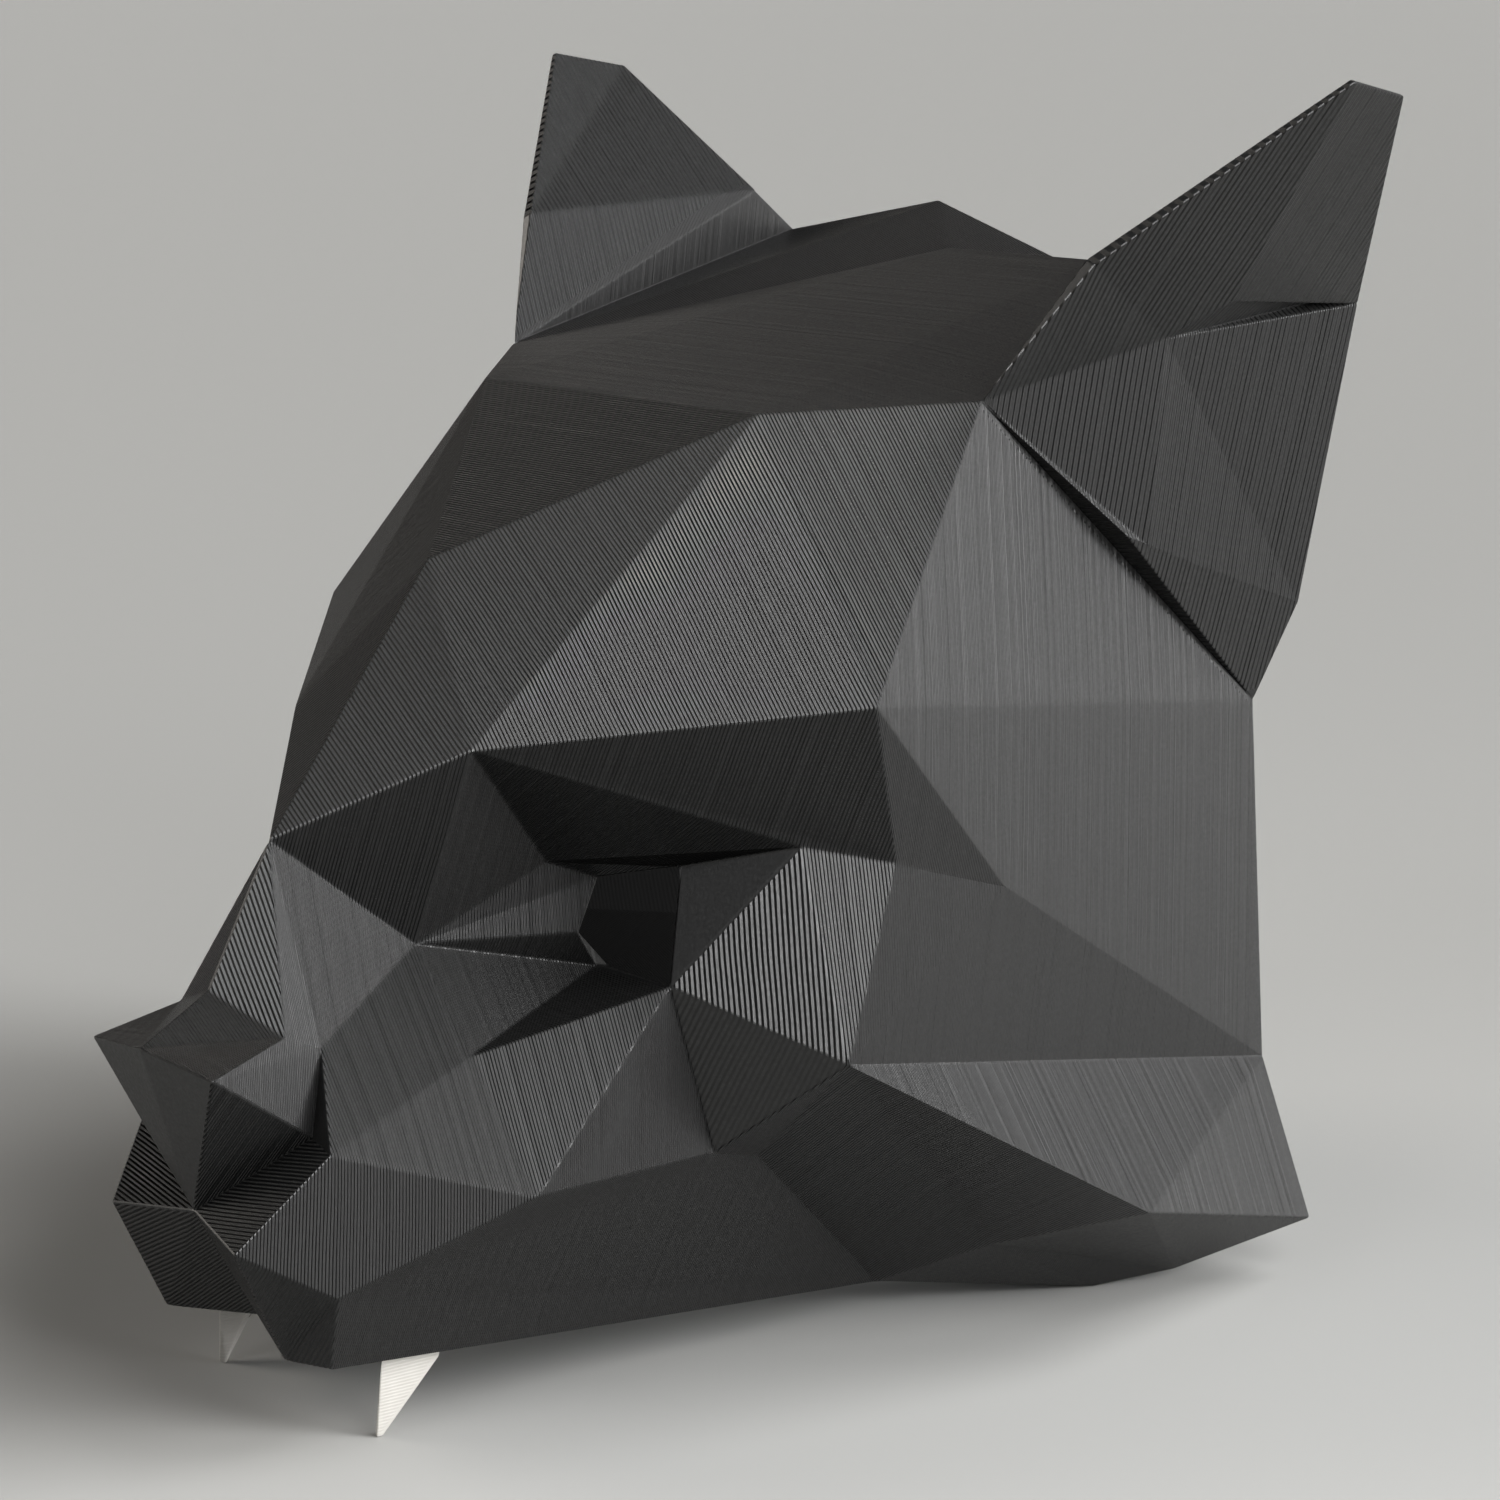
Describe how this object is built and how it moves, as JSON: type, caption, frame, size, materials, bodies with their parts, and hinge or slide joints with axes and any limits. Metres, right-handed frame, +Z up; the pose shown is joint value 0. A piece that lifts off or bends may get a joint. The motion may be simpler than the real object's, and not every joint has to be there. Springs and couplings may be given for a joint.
{
  "type": "low-poly cat mask",
  "caption": "Faceted animal face mask with open back and neck, pointed cupped ears, angular eye holes and white fangs under the muzzle, worn over the head for carnival or theatre.",
  "frame": {"origin": "middle of the mask's box, on the surface it stands on", "axes": "+Z up, -Y towards the nose, +X towards the cat's left cheek"},
  "size_m": [0.217, 0.2394, 0.2323],
  "materials": {
    "black_pla": "matt printed filament with fine layer lines",
    "white_pla": "satin printed filament"
  },
  "bodies": {
    "root": {"mask_shell": "black_pla", "fang_left": "white_pla", "fang_right": "white_pla"}
  },
  "joints": []
}
